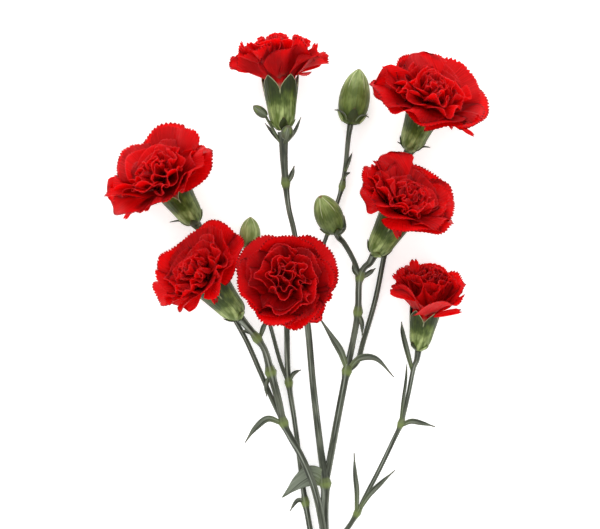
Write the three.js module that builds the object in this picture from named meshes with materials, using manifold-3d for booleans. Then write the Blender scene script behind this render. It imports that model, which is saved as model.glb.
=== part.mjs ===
// Cut spray carnation lying on a table: one cut stem with side shoots, seven red blooms, three buds.
// Millimetres, +Z up. The stem runs along +Y and the table is the plane z = 0.
// Stems and leaves follow hand-chosen points. A bloom or a bud is built upright, its foot at the origin,
// and is then turned the way it faces, so its stem always meets it square.
import * as THREE from "three";
import { mergeVertices } from "three/addons/utils/BufferGeometryUtils.js";
import Module from "manifold-3d";

const wasm = await Module();
wasm.setup();

// ---- Driving dimensions ----

const GAP = 0.3; // between neighbouring pieces
const BLADE = 0.8; // thickness of a petal, leaf or bract
const STEM_SIDES = 6;
const STEM_STEP = 14; // between the rings of a stem
const NODE_BULGE = 0.4; // a node is this much thicker than its stem
const NODE_REACH = 2.4; // half the length of a node's swelling
const APPROACH = 6; // the last stretch of a stem, straight into its bloom

const CALYX_SIDES = 10; // five teeth, five notches
const CALYX_NOTCH = 19.5; // height of the notches between the teeth
const CALYX_TIP = 27.5; // height of the teeth
const CALYX_FLOOR = 14; // bottom of the cup's hollow
const CALYX_MOUTH = 9; // radius at the notches
const CALYX_WALL = 0.9;
const CLAWS = 7.2; // radius of the bundle of claws at the notches
const CORE_SIDES = 7;
const PETAL_START = 29.5; // height where the outer petals leave the middle of the bloom
// What all petals share: the width of the claw, how soon the limb bends out, its waves, how it overlaps its
// neighbour, the depth of its teeth, and its grid.
const PETAL = { claw: 2, bend: 4, waves: 2, tilt: 0.25, teeth: 0.1, columns: 6, rows: 2 };

// foot: the bottom of the calyx; turn: its heading in plan, from +Y towards +X; rise: its tilt above the table;
// limb: the length of the outer petals; scale: the size of the calyx; flare: how far the outer petals bend
// away from the axis, in degrees.
const BLOOMS = {
  top: { foot: [-9, 139, 23], turn: -3, rise: 5, limb: 25, scale: 1, flare: 80, seed: 1 },
  left: { foot: [-55.5, 91, 6.2], turn: -33, rise: 32, limb: 30.5, scale: 1, flare: 80, seed: 2 },
  inner_left: { foot: [-32, 40.5, 10], turn: -39, rise: 31, limb: 26.5, scale: 1, flare: 80, seed: 3 },
  centre: { foot: [-7.5, 49, 22.5], turn: 2, rise: 72, limb: 25.5, scale: 1, flare: 88, seed: 4 },
  inner_right: { foot: [39.5, 74, 10.5], turn: 29, rise: 31, limb: 26.5, scale: 1, flare: 80, seed: 5 },
  right: { foot: [58, 130, 6.4], turn: 21, rise: 33, limb: 30.5, scale: 1, flare: 80, seed: 6 },
  low_right: { foot: [63.5, 23, 6], turn: 8, rise: 22, limb: 24, scale: 0.85, flare: 42, seed: 7 },
};

const BUDS = {
  top: { foot: [27, 144, 7.4], turn: 9, rise: 0, length: 30, radius: 8.2 },
  inner_right: { foot: [19, 87, 14], turn: -26, rise: 44, length: 27, radius: 8 },
  left: { foot: [-27, 77.5, 8.5], turn: 2, rise: 8, length: 17, radius: 5.6 },
};

// A stem's points are [x, y, z, radius]. nodes are the points where it swells, and to is the bloom or bud
// that it runs into. from is the stem that it leaves.
const STEMS = {
  stem_top: {
    points: [
      [20, -190, 2.6, 2.2], [16.5, -148, 3.3, 2.2], [15, -114.5, 4.5, 2.2], [13.5, -83, 6, 2.1],
      [13, -62.5, 7, 2.1], [13.5, -48.5, 8, 2.1], [11, -30, 9, 1.7], [7, 4.5, 10, 1.6], [4, 37, 12, 1.6],
      [1.5, 51.5, 13.5, 1.6], [-0.5, 68.5, 15, 1.3], [-3, 86, 17, 1.25], [-6, 99, 18.5, 1.25],
      [-7.5, 111.5, 20, 1.5], [-8.5, 125, 21.7, 1.9],
    ],
    nodes: [1, 2, 3, 5, 9, 13],
    to: BLOOMS.top,
  },
  stem_inner_right: {
    from: "stem_top",
    points: [
      [13.5, -48.5, 8, 1.7], [16.5, -33, 7.5, 1.7], [20.5, -11.5, 7, 1.7], [25, 11.5, 6.5, 1.7],
      [28.5, 28.5, 6.5, 1.5], [31, 43, 7, 1.6], [32, 62, 8, 1.6], [34.5, 67.5, 8.5, 1.5],
    ],
    nodes: [3, 5, 6],
    to: BLOOMS.inner_right,
  },
  stem_right: {
    from: "stem_inner_right",
    points: [
      [25, 11.5, 6.5, 1.3], [30.5, 16.5, 5, 1.3], [34, 27.5, 4, 1.3], [40.5, 50, 3.5, 1.3],
      [45.5, 74, 2.6, 1.3], [51.5, 98.5, 2.4, 1.3], [55.3, 119, 2.4, 1.5],
    ],
    nodes: [5],
    to: BLOOMS.right,
  },
  stem_inner_left: {
    from: "stem_top",
    points: [
      [13.5, -83, 6, 1.7], [11.5, -67.5, 10, 1.7], [7, -48, 14, 1.7], [0.5, -32.5, 14, 1.6],
      [-5, -23, 13, 1.6], [-8.5, -16, 12, 1.6], [-11.5, -3.5, 10.5, 1.5], [-15.5, 11, 9.5, 1.5],
      [-19, 23.5, 9, 1.6], [-22.5, 29, 9, 1.6],
    ],
    nodes: [5, 7, 9],
    to: BLOOMS.inner_left,
  },
  stem_left: {
    from: "stem_inner_left",
    points: [
      [-8.5, -16, 12, 1.2], [-14, -5, 9, 1.2], [-20.5, 9.5, 6, 1.2], [-28.5, 27.5, 4, 1.2],
      [-36, 41.5, 2.6, 1.2], [-44.5, 60.5, 2.4, 1.3], [-50, 79.5, 2.4, 1.5],
    ],
    nodes: [5],
    to: BLOOMS.left,
  },
  stem_centre: {
    from: "stem_top",
    points: [
      [15, -114.5, 4.5, 1.4], [9.5, -95, 4, 1.4], [6, -76.5, 3, 1.4], [3, -59.5, 3, 1.4], [1.5, -49.5, 3, 1.3],
      [-0.5, -33.5, 3, 1.2], [-3, -14.5, 3, 1.2], [-6, 5, 4, 1.4], [-6.8, 17.5, 4, 1.4],
      [-7, 31, 4.5, 1.4], [-7.2, 41, 8, 1.4],
    ],
    nodes: [3, 7],
    to: BLOOMS.centre,
  },
  stem_low_right: {
    from: "stem_top",
    points: [
      [13.5, -83, 6, 1.2], [18, -79.5, 5.5, 1.2], [24.5, -74, 4.5, 1.2], [30.5, -65, 4, 1.2],
      [35.5, -55, 4, 1.1], [43, -40.5, 4, 1.1], [50, -26, 4, 1.1], [54, -17, 5, 1.1], [58, -1, 6, 1.1],
      [61, 14, 7, 1.2],
    ],
    nodes: [3, 7],
    to: BLOOMS.low_right,
  },
  twig_bud_top: {
    from: "stem_top",
    points: [
      [1.5, 51.5, 13.5, 1], [7, 66, 9, 1], [13.5, 82, 6, 1], [19, 99, 4, 1], [22.5, 110.5, 4, 1.1],
      [24.5, 122.5, 5, 1.1],
    ],
    nodes: [4],
    to: BUDS.top,
  },
  twig_bud_inner_right: {
    from: "stem_inner_right",
    points: [[32, 62, 8, 1.2], [29, 70.5, 10, 1.2], [23, 81, 11.5, 1.3]],
    nodes: [],
    to: BUDS.inner_right,
  },
  twig_bud_left: {
    from: "stem_centre",
    points: [[-6, 5, 4, 1], [-10, 15, 5, 1], [-16, 36.5, 6, 1], [-22, 58, 7, 1]],
    nodes: [],
    to: BUDS.left,
  },
};

// Leaves and bracts, each on its stem: width at the widest, and the points of its midrib.
const LEAVES = {
  stem_top: [
    { width: 10.5, points: [[12.5, -47, 8.4], [7, -43.5, 9], [0.5, -46, 8.6], [-9.5, -55.5, 7.6]] },
    { width: 5, points: [[16, -148, 3.6], [9, -132, 6], [-1, -115, 6], [-10, -96, 3]] },
    { width: 5, points: [[17, -147, 3.6], [23, -130, 6], [30, -108, 5], [34, -88, 2]] },
    { width: 4.5, points: [[15.5, -114, 5.2], [20, -102, 8], [24, -92, 8], [27, -84, 6.5]] },
    { width: 2.4, points: [[-7, 111.5, 20.5], [-4.5, 116, 22.5], [-3, 121, 23]] },
    { width: 1.6, points: [[-9, 132, 23], [-14, 138, 21.5], [-18.5, 143.5, 22]] },
    { width: 1.6, points: [[-8.5, 132, 23.5], [-3, 138.5, 26], [0.5, 146, 28]] },
  ],
  stem_inner_right: [
    { width: 3.6, points: [[25, 13, 7.5], [22, 22, 9], [17.5, 29.5, 9], [9.5, 42, 7]] },
    { width: 3.2, points: [[25.8, 13, 7.5], [32, 19, 9.5], [40, 19, 9.5], [50.5, 8.5, 5]] },
    { width: 2.2, points: [[31.4, 43, 7.6], [33, 38, 9], [33.3, 31, 8]] },
    { width: 2.4, points: [[32, 62, 9], [29, 66, 12], [28, 70, 13.5]] },
    { width: 2.4, points: [[32.4, 61.5, 8.5], [37, 64.5, 8.5], [40.5, 67, 7]] },
  ],
  stem_right: [
    { width: 2, points: [[51.5, 98, 3], [49, 103, 5], [47.5, 108, 5]] },
    { width: 2, points: [[51.8, 98.5, 3], [56, 102, 4.5], [59, 107, 4]] },
  ],
  stem_inner_left: [
    { width: 3.2, points: [[-8.8, -16, 12.8], [-17, -13, 13.5], [-24, -18.5, 10.5], [-29.5, -26.5, 7]] },
    { width: 2, points: [[-16, 10.5, 9], [-18, 4.5, 10.5], [-17.8, -1.5, 9.5]] },
    { width: 2.4, points: [[-21.4, 30, 7.5], [-19.5, 35.5, 9.5], [-17.5, 40, 9.5]] },
    { width: 2.4, points: [[-22, 30.5, 7], [-27, 33, 7], [-31.5, 33.5, 5.5]] },
  ],
  stem_left: [
    { width: 2, points: [[-44.5, 60, 3], [-42.5, 66, 4.6], [-42, 71, 4.8]] },
    { width: 2, points: [[-44.8, 60.5, 3], [-50, 64, 4], [-54, 66.5, 3.4]] },
  ],
  stem_centre: [
    { width: 2, points: [[2.8, -59, 3.6], [-1, -57.5, 5], [-5.5, -63.5, 4.5]] },
    { width: 2, points: [[-6, 5.5, 4.8], [-3.5, 10.5, 6.2], [0.5, 12.5, 6]] },
  ],
  stem_low_right: [
    { width: 2.4, points: [[30.3, -65, 4.6], [30.5, -53, 6.5], [29.5, -43, 7], [29, -32, 6.5]] },
    { width: 2.6, points: [[30.8, -64.5, 4.4], [37, -54.5, 6.5], [43.5, -48, 6.5], [51, -41.5, 5]] },
    { width: 2.6, points: [[54, -17.5, 5.6], [59.5, -15, 7], [65.5, -16, 7], [72.5, -18, 6]] },
    { width: 2.4, points: [[60.5, 11, 7.4], [57.5, 22, 8], [54.8, 33, 9], [54.3, 38.5, 9]] },
    { width: 1.4, points: [[53.8, -17, 5.6], [55, -5, 8.5], [56.5, 7, 10], [57, 16, 10.5]] },
  ],
};

// The two small buds by the top bloom: on a stalk of its own, and close against the calyx.
const SIDE_BUDS = [
  { from: [-9, 131, 22.5], foot: [-17.5, 146.5, 28], turn: -52, rise: 4, length: 9, radius: 2.6 },
  { from: [-8.5, 132, 22.5], foot: [-7.5, 134.5, 29], turn: 15, rise: 25, length: 8, radius: 3.3 },
];

// ---- Materials ----

const material = (color, roughness) => new THREE.MeshStandardMaterial({ color, roughness, metalness: 0 });
const PETAL_RED = material(0xc8141c, 0.6);
const CALYX_GREEN = material(0x66853f, 0.5);
const STEM_GREEN = material(0x5c7058, 0.55);

// ---- Solids ----

// A closed geometry as a solid for joining and cutting.
function solidOf(geometry) {
  for (const name of ["normal", "uv"]) geometry.deleteAttribute(name);
  const merged = mergeVertices(geometry, 1e-4);
  return new wasm.Manifold(
    new wasm.Mesh({
      numProp: 3,
      vertProperties: new Float32Array(merged.attributes.position.array),
      triVerts: new Uint32Array(merged.index.array),
    }),
  );
}

function geometryOf(solid) {
  const { vertProperties, triVerts } = solid.getMesh();
  const geometry = new THREE.BufferGeometry();
  geometry.setAttribute("position", new THREE.BufferAttribute(vertProperties, 3));
  geometry.setIndex(new THREE.BufferAttribute(triVerts, 1));
  geometry.computeVertexNormals();
  return geometry;
}

function closedGeometry(points, triangles) {
  const geometry = new THREE.BufferGeometry().setFromPoints(points);
  geometry.setIndex(triangles);
  return geometry;
}

// Joins solids into one body. A scrap that a cut has left loose is dropped.
function join(solids) {
  const joined = solids.reduce((sum, next) => sum.add(next));
  return joined.decompose().reduce((best, next) => (next.volume() > best.volume() ? next : best));
}

// Rings of equal point counts, joined in order and capped flat at both ends.
function loft(rings) {
  const sides = rings[0].length;
  const points = rings.flat();
  const triangles = [];
  rings.slice(1).forEach((_, row) => {
    for (let k = 0; k < sides; k++) {
      const a = row * sides + k;
      const b = row * sides + ((k + 1) % sides);
      triangles.push(a, b, b + sides, a, b + sides, a + sides);
    }
  });
  const last = (rings.length - 1) * sides;
  for (let k = 1; k < sides - 1; k++) {
    triangles.push(0, k + 1, k);
    triangles.push(last, last + k, last + k + 1);
  }
  return closedGeometry(points, triangles);
}

// A blade: a surface point(u, v), u from -1 to 1 and v from 0 to 1, given a thickness. Both faces are split
// into the same triangles, so they never cross.
function blade(columns, rows, thickness, point) {
  const width = columns + 1;
  const grid = [];
  for (let j = 0; j <= rows; j++) {
    for (let i = 0; i <= columns; i++) grid.push(point((2 * i) / columns - 1, (j / rows) ** 1.3));
  }
  const front = [];
  for (let j = 0; j < rows; j++) {
    for (let i = 0; i < columns; i++) {
      const a = j * width + i;
      const [b, c, d] = [a + 1, a + 1 + width, a + width];
      front.push(...((i + j) % 2 ? [a, b, c, a, c, d] : [a, b, d, b, c, d]));
    }
  }
  const normals = closedGeometry(grid, front);
  normals.computeVertexNormals();
  const normal = (k) => new THREE.Vector3().fromBufferAttribute(normals.attributes.normal, k);
  const shifted = (side) => grid.map((p, k) => p.clone().addScaledVector(normal(k), (side * thickness) / 2));
  const back = grid.length;
  const triangles = [...front];
  for (let t = 0; t < front.length; t += 3) {
    triangles.push(front[t] + back, front[t + 2] + back, front[t + 1] + back);
  }
  const rim = [];
  for (let i = 0; i < columns; i++) rim.push(i);
  for (let j = 0; j < rows; j++) rim.push(j * width + columns);
  for (let i = columns; i > 0; i--) rim.push(rows * width + i);
  for (let j = rows; j > 0; j--) rim.push(j * width);
  rim.forEach((p, k) => {
    const q = rim[(k + 1) % rim.length];
    triangles.push(q, p, p + back, q, p + back, q + back);
  });
  return solidOf(closedGeometry([...shifted(1), ...shifted(-1)], triangles));
}

// A profile of [radius, height] points turned round the axis, starting and ending on it.
function turned(profile, sides) {
  const points = profile.map(([radius, height]) => new THREE.Vector2(radius, height));
  const geometry = new THREE.LatheGeometry(points, sides, Math.PI / 2).rotateX(Math.PI / 2);
  return solidOf(geometry);
}

// Repeatable random numbers from 0 to 1.
function draws(seed) {
  let state = seed * 7919;
  return () => {
    state = (state * 16807 + 11) % 2147483647;
    return state / 2147483647;
  };
}

// ---- Placing ----

function axisOf({ turn, rise }) {
  const heading = THREE.MathUtils.degToRad(turn);
  const tilt = THREE.MathUtils.degToRad(rise);
  return new THREE.Vector3(
    Math.sin(heading) * Math.cos(tilt),
    Math.cos(heading) * Math.cos(tilt),
    Math.sin(tilt),
  );
}

// Stands a bloom's own frame on its foot: its +Z runs along the axis, and its +X stays level.
function placement(head) {
  const axis = axisOf(head);
  const level = new THREE.Vector3(axis.y, -axis.x, 0).normalize();
  const third = new THREE.Vector3().crossVectors(axis, level);
  return new THREE.Matrix4().makeBasis(level, third, axis).setPosition(...head.foot);
}

// A slab below the table, as seen from a bloom's own frame.
function tableUnder(matrix) {
  const slab = new THREE.BoxGeometry(1000, 1000, 100).translate(0, 0, -50);
  return solidOf(slab.applyMatrix4(matrix.clone().invert()));
}

function mesh(name, solid, look) {
  const made = new THREE.Mesh(geometryOf(solid), look);
  made.name = name;
  return made;
}

// ---- Stems ----

// Where a stem runs: through its points, then straight into the foot of its bloom.
function routeOf(stem, reach) {
  const points = stem.points.map(([x, y, z]) => new THREE.Vector3(x, y, z));
  const axis = axisOf(stem.to);
  const foot = new THREE.Vector3(...stem.to.foot);
  points.push(foot.clone().addScaledVector(axis, -APPROACH));
  points.push(foot.clone().addScaledVector(axis, -reach));
  return new THREE.CatmullRomCurve3(points, false, "centripetal");
}

function radiusAlong(stem, t, spans) {
  const radii = stem.points.map((p) => p[3]);
  const end = radii.at(-1) * 1.15;
  radii.push(end, end * 1.2);
  const place = t * spans;
  const k = Math.min(Math.floor(place), spans - 1);
  return THREE.MathUtils.lerp(radii[k], radii[k + 1], place - k);
}

// A round tube along the route, with swollen nodes. grow thickens it for cutting a clear seat.
function tube(stem, grow) {
  const curve = routeOf(stem, GAP);
  const spans = curve.points.length - 1;
  const stops = [];
  for (let k = 0; k < spans; k++) {
    const chord = curve.points[k].distanceTo(curve.points[k + 1]);
    const steps = Math.max(1, Math.round(chord / STEM_STEP));
    for (let s = 0; s < steps; s++) stops.push({ t: (k + s / steps) / spans, bulge: 0 });
  }
  stops.push({ t: 1, bulge: 0 });
  for (const node of stem.nodes) {
    const at = curve.points[node];
    const near = stops.find((stop) => Math.abs(stop.t - node / spans) < 1e-6);
    near.bulge = NODE_BULGE;
    const before = curve.points[node - 1].distanceTo(at);
    const after = curve.points[node + 1].distanceTo(at);
    stops.push({ t: (node - NODE_REACH / before) / spans, bulge: 0 });
    stops.push({ t: (node + NODE_REACH / after) / spans, bulge: 0 });
  }
  stops.sort((a, b) => a.t - b.t);
  let side = new THREE.Vector3(1, 0, 0);
  const rings = stops.map(({ t, bulge }) => {
    const centre = curve.getPoint(t);
    const along = curve.getTangent(t);
    side = side.clone().addScaledVector(along, -side.dot(along)).normalize();
    const other = new THREE.Vector3().crossVectors(along, side);
    const radius = radiusAlong(stem, t, spans) * (1 + bulge) + grow;
    return Array.from({ length: STEM_SIDES }, (_, k) => {
      const angle = (2 * Math.PI * (k + 0.5)) / STEM_SIDES;
      return centre
        .clone()
        .addScaledVector(side, radius * Math.cos(angle))
        .addScaledVector(other, radius * Math.sin(angle));
    });
  });
  return solidOf(loft(rings));
}

// A stem with its leaves and side buds, made thicker all over by grow.
function leafyStem(name, grow) {
  const leaves = (LEAVES[name] ?? []).map((shape) => leaf(shape, grow));
  const sideBuds = name === "stem_top" ? SIDE_BUDS.map(sideBud) : [];
  return join([tube(STEMS[name], grow), ...leaves, ...sideBuds]);
}

// A leaf: widest before its middle, drawn out to a point, and folded a little along its midrib. Its section
// has four corners: the keel, the left edge, the middle of the upper face, and the right edge.
function leaf({ width, points }, grow) {
  const curve = new THREE.CatmullRomCurve3(points.map((p) => new THREE.Vector3(...p)));
  const rows = width > 4 ? 6 : 3;
  const thick = BLADE / 2 + grow;
  const rings = Array.from({ length: rows + 1 }, (_, row) => {
    const v = row / rows;
    const along = curve.getTangent(v);
    const across = new THREE.Vector3(along.y, -along.x, 0).normalize();
    const up = new THREE.Vector3().crossVectors(across, along);
    const taper = (0.25 + 0.75 * Math.sin(Math.PI * (0.12 + 0.8 * v))) * (1 - v ** 4);
    const half = (width / 2) * taper + 0.2 + grow;
    const corners = [[0, -thick], [-half, 0.25 * half], [0, thick], [half, 0.25 * half]];
    return corners.map(([side, lift]) =>
      curve.getPoint(v).addScaledVector(across, side).addScaledVector(up, lift),
    );
  });
  return solidOf(loft(rings));
}

// An egg-shaped closed bud with a drawn-out tip, upright on its foot.
function bud({ length, radius }, sides) {
  const profile = [
    [0, 0], [0.36, 0], [0.72, 0.1], [0.94, 0.26], [1, 0.45], [0.88, 0.66], [0.56, 0.84], [0.2, 0.96], [0, 1],
  ];
  return turned(profile.map(([r, h]) => [r * radius, h * length]), sides);
}

function sideBud(small) {
  const foot = new THREE.Vector3(...small.foot);
  const start = new THREE.Vector3(...small.from);
  const stalk = new THREE.LineCurve3(start, foot.clone().addScaledVector(axisOf(small), 1));
  const along = stalk.getTangent(0);
  const side = new THREE.Vector3(0, 0, 1).addScaledVector(along, -along.z).normalize();
  const other = new THREE.Vector3().crossVectors(along, side);
  const rings = [0, 1].map((t) =>
    [0, 1, 2, 3, 4].map((k) => {
      const angle = (2 * Math.PI * k) / 5;
      return stalk
        .getPoint(t)
        .addScaledVector(side, 0.7 * Math.cos(angle))
        .addScaledVector(other, 0.7 * Math.sin(angle));
    }),
  );
  const body = bud(small, 6).transform(placement(small).elements);
  return solidOf(loft(rings)).add(body);
}

// ---- Blooms, upright, with the foot of the calyx at the origin ----

// The calyx: a cup whose rim runs up into five pointed teeth, with two pointed scales at its foot.
function calyx(scale) {
  const outer = [[2.6, 0], [5.2, 1.8], [6.8, 5], [7.9, CALYX_FLOOR]];
  const wall = (inset) => [CALYX_MOUTH - inset, CALYX_MOUTH + 1.3 - inset];
  const ring = (radiusAt, heightAt) =>
    Array.from({ length: CALYX_SIDES }, (_, k) => {
      const angle = (2 * Math.PI * k) / CALYX_SIDES;
      const tooth = k % 2;
      const radius = radiusAt(tooth);
      return new THREE.Vector3(radius * Math.cos(angle), radius * Math.sin(angle), heightAt(tooth));
    });
  const rim = (tooth) => (tooth ? CALYX_TIP : CALYX_NOTCH);
  const rings = [
    ...outer.map(([radius, height]) => ring(() => radius, () => height)),
    ring((tooth) => wall(0)[tooth], rim),
    ring((tooth) => wall(CALYX_WALL)[tooth], rim),
    ring(() => outer.at(-1)[0] - CALYX_WALL, () => CALYX_FLOOR),
  ];
  const cup = solidOf(loft(rings));
  const scales = [0, 1].map((k) => {
    const around = Math.PI * (k + 0.1);
    const at = (turn, radius, height) =>
      new THREE.Vector3(radius * Math.cos(around + turn), radius * Math.sin(around + turn), height);
    const [left, right] = [at(-0.85, 3.6, 0.8), at(0.85, 3.6, 0.8)];
    const [keel, tip, root] = [at(0, 4.6, 1.2), at(0, 7.9, 8.5), at(0, 1.5, 2)];
    return solidOf(
      closedGeometry([left, right, keel, tip, root], [0, 2, 3, 2, 1, 3, 0, 4, 2, 4, 1, 2, 3, 4, 0, 3, 1, 4]),
    );
  });
  return join([cup, ...scales]).scale([scale, scale, scale]);
}

// Where the surface of a petal lies. Its claw starts at [start radius, start height]; the limb is a fan of
// the given spread, which bends from its first lean to its last, measured from the bloom's axis. Its cross
// section meanders, more towards the margin, which is cut into teeth.
function petalPoint(petal, u, v) {
  const column = Math.round(((u + 1) / 2) * petal.columns);
  const tooth = v === 1 && column % 2 === 0 ? petal.teeth : 0;
  const angle = u * petal.spread;
  const reach = v * petal.length * (1 - tooth) * (1 - 0.06 * u * u);
  const along = reach * Math.cos(angle);
  const half = petal.claw + reach * Math.sin(petal.spread);

  let radius = petal.start[0];
  let height = petal.start[1];
  let lean = petal.lean[0];
  const steps = 8;
  for (let k = 0; k < steps; k++) {
    const gone = ((k + 0.5) / steps) * along;
    lean = THREE.MathUtils.lerp(petal.lean[0], petal.lean[1], 1 - Math.exp(-gone / petal.bend));
    radius += (along / steps) * Math.sin(lean);
    height += (along / steps) * Math.cos(lean);
  }

  let across = 0;
  let lift = 0;
  for (let k = 0; k < steps; k++) {
    const place = ((k + 0.5) / steps) * u;
    const swing = petal.ruffle * v ** 1.3 * Math.cos(Math.PI * petal.waves * place + petal.phase);
    across += (u / steps) * Math.cos(swing);
    lift += (u / steps) * Math.sin(swing);
  }
  const off = half * lift + petal.tilt * half * across;
  const out = radius - off * Math.cos(lean);
  const side = half * across;
  const up = height + off * Math.sin(lean);
  const [c, s] = [Math.cos(petal.around), Math.sin(petal.around)];
  return new THREE.Vector3(out * c - side * s, out * s + side * c, up);
}

function petal(shape) {
  return blade(shape.columns, shape.rows, BLADE, (u, v) => petalPoint(shape, u, v));
}

// The petals of a bloom: an overlapping outer whorl, and ruffled inner petals that stand out of a smaller
// core. The core's foot is the bundle of claws inside the calyx.
function petals({ limb, scale, flare, seed }) {
  const draw = draws(seed);
  const length = limb / scale;
  const deep = length / 24;
  const above = (height) => PETAL_START + height * deep;
  const core = turned(
    [
      [0, CALYX_FLOOR + GAP], [CLAWS - 1, CALYX_FLOOR + GAP], [CLAWS, CALYX_NOTCH], [CLAWS, PETAL_START],
      [12.5, above(4.5)], [11, above(9)], [6, above(13)], [0, above(14)],
    ],
    CORE_SIDES,
  );
  const whorl = (count, first, shape) =>
    Array.from({ length: count }, (_, k) => ({
      ...PETAL,
      ...shape,
      around: first + (2 * Math.PI * (k + 0.25 * draw())) / count,
      ruffle: shape.ruffle * (0.8 + 0.4 * draw()),
      phase: 6 * draw(),
      lean: [shape.lean[0], shape.lean[1] * (1 - 0.1 * draw())],
      length: shape.length * (1 - 0.06 * draw()),
    }));
  const open = THREE.MathUtils.degToRad(flare);
  const whorls = [
    whorl(6, 0, { start: [4, PETAL_START], lean: [0.7, open], length, spread: 0.68, ruffle: 0.4 }),
    whorl(5, 0.5, {
      start: [3, above(3)], lean: [0.3, 0.7 * open], length: 0.75 * length, spread: 0.72, ruffle: 0.55, columns: 5,
    }),
    whorl(3, 1, {
      start: [1.5, above(6)], lean: [0.05, 0.5], length: 15 * deep, spread: 0.8, ruffle: 0.7, columns: 4, rows: 1,
    }),
  ];
  return join([core, ...whorls.flat().map(petal)]).scale([scale, scale, scale]);
}

// ---- The part ----

const part = new THREE.Group();

for (const [name, stem] of Object.entries(STEMS)) {
  let solid = leafyStem(name, 0);
  if (stem.from) solid = join([solid.subtract(leafyStem(stem.from, GAP))]);
  part.add(mesh(name, solid, STEM_GREEN));
}

for (const [name, bloom] of Object.entries(BLOOMS)) {
  const head = new THREE.Group();
  const matrix = placement(bloom);
  const table = tableUnder(matrix);
  head.add(mesh("calyx_" + name, calyx(bloom.scale), CALYX_GREEN));
  head.add(mesh("petals_" + name, join([petals(bloom).subtract(table)]), PETAL_RED));
  matrix.decompose(head.position, head.quaternion, head.scale);
  part.add(head);
}

for (const [name, shape] of Object.entries(BUDS)) {
  const head = new THREE.Group();
  const matrix = placement(shape);
  head.add(mesh("bud_" + name, join([bud(shape, CALYX_SIDES).subtract(tableUnder(matrix))]), CALYX_GREEN));
  matrix.decompose(head.position, head.quaternion, head.scale);
  part.add(head);
}

export default part;
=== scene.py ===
"""A cut spray carnation, lying on a pale table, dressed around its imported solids.

Lengths are typed in millimetres and become metres when a mesh is made. A bloom or a bud is worked out
upright, its foot at the origin and +Z along its axis, and is then turned the way it faces.
"""

import bpy
import numpy as np
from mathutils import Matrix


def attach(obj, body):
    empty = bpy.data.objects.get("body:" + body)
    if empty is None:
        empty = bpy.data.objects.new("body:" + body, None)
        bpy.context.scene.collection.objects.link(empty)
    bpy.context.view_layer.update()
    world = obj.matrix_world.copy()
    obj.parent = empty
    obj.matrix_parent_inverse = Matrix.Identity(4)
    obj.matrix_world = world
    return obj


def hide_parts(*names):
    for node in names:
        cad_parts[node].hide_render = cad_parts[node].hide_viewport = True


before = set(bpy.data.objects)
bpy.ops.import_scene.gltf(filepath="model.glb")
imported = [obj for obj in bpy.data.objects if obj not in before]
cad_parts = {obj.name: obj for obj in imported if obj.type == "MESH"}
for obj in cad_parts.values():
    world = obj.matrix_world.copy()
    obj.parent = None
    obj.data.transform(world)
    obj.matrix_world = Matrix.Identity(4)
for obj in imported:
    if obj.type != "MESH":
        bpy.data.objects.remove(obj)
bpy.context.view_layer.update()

MM = 0.001
EYE = (0, 69, 900)  # where the camera stands, in millimetres
TABLE_GAP = 0.35  # how close the middle of a petal comes to the table
SKIN_GAP = 0.05  # and the skin of a stem or a bud
TABLE_SOFT = 0.6  # over what height a piece gives way to the table

# ---- The camera: straight above, as the photograph looks at the spray ----

scene = bpy.context.scene
scene.view_settings.view_transform = "Standard"


def put(name, data):
    """A new object in the scene, at the origin."""
    thing = bpy.data.objects.new(name, data)
    scene.collection.objects.link(thing)
    return thing


lens = bpy.data.cameras.new("camera")
lens.lens = 100
scene.camera = put("camera", lens)
scene.camera.location = np.array(EYE) * MM

# ---- The plant: the same places as in the solids ----

# foot, turn from +Y towards +X, rise above the table, limb (the length of the outer petals) and scale, as
# in the solids; lift: how far up the calyx the petals start; flare: how far the outer ones bend out; sag:
# how much more those towards the viewer bend, and those behind less, or the other way round where it is
# negative; frill: how much more the two outer whorls are ruffled; nod: how far the crown leans to the
# viewer; crown: its height; depth: how much painted shade darkens all its red; dim: how much painted
# shade darkens the top of its calyx, under the petals; scales: where the dark scales at the foot sit, in
# degrees; and the seed of its own draws.
SHARED = dict(scale=1, flare=74, sag=0.3, frill=1.2, nod=8, crown=0.7, depth=0, dim=0.5)
BLOOMS = {
    "top": dict(
        SHARED, foot=(-9, 139, 23), turn=-3, rise=5, limb=24.5, lift=1.2, flare=80, sag=-0.3, frill=2.6,
        nod=0, crown=0.95, depth=0.3, dim=0.9, scales=276, seed=22,
    ),
    "left": dict(
        SHARED, foot=(-55.5, 91, 6.2), turn=-33, rise=32, limb=30.5, lift=2.5, nod=9, depth=0.1, scales=262,
        seed=2,
    ),
    "inner_left": dict(
        SHARED, foot=(-32, 40.5, 10), turn=-39, rise=31, limb=26.5, lift=4.5, scales=200, seed=42,
    ),
    "centre": dict(
        SHARED, foot=(-7.5, 49, 22.5), turn=2, rise=72, limb=24.5, lift=2, flare=76, sag=0.05, nod=1,
        crown=0.9, depth=0.8, scales=0, seed=35,
    ),
    "inner_right": dict(
        SHARED, foot=(39.5, 74, 10.5), turn=29, rise=31, limb=26.5, lift=5, scales=190, seed=154,
    ),
    "right": dict(
        SHARED, foot=(58, 130, 6.4), turn=21, rise=33, limb=30.5, lift=1.5, flare=76, nod=9, depth=0.1,
        scales=190, seed=130,
    ),
    "low_right": dict(
        SHARED, foot=(63.5, 23, 6), turn=8, rise=22, limb=24, scale=0.85, lift=2, flare=30, sag=-0.3,
        frill=1.8, nod=0, crown=1, dim=0.75, scales=225, seed=78,
    ),
}
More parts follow.
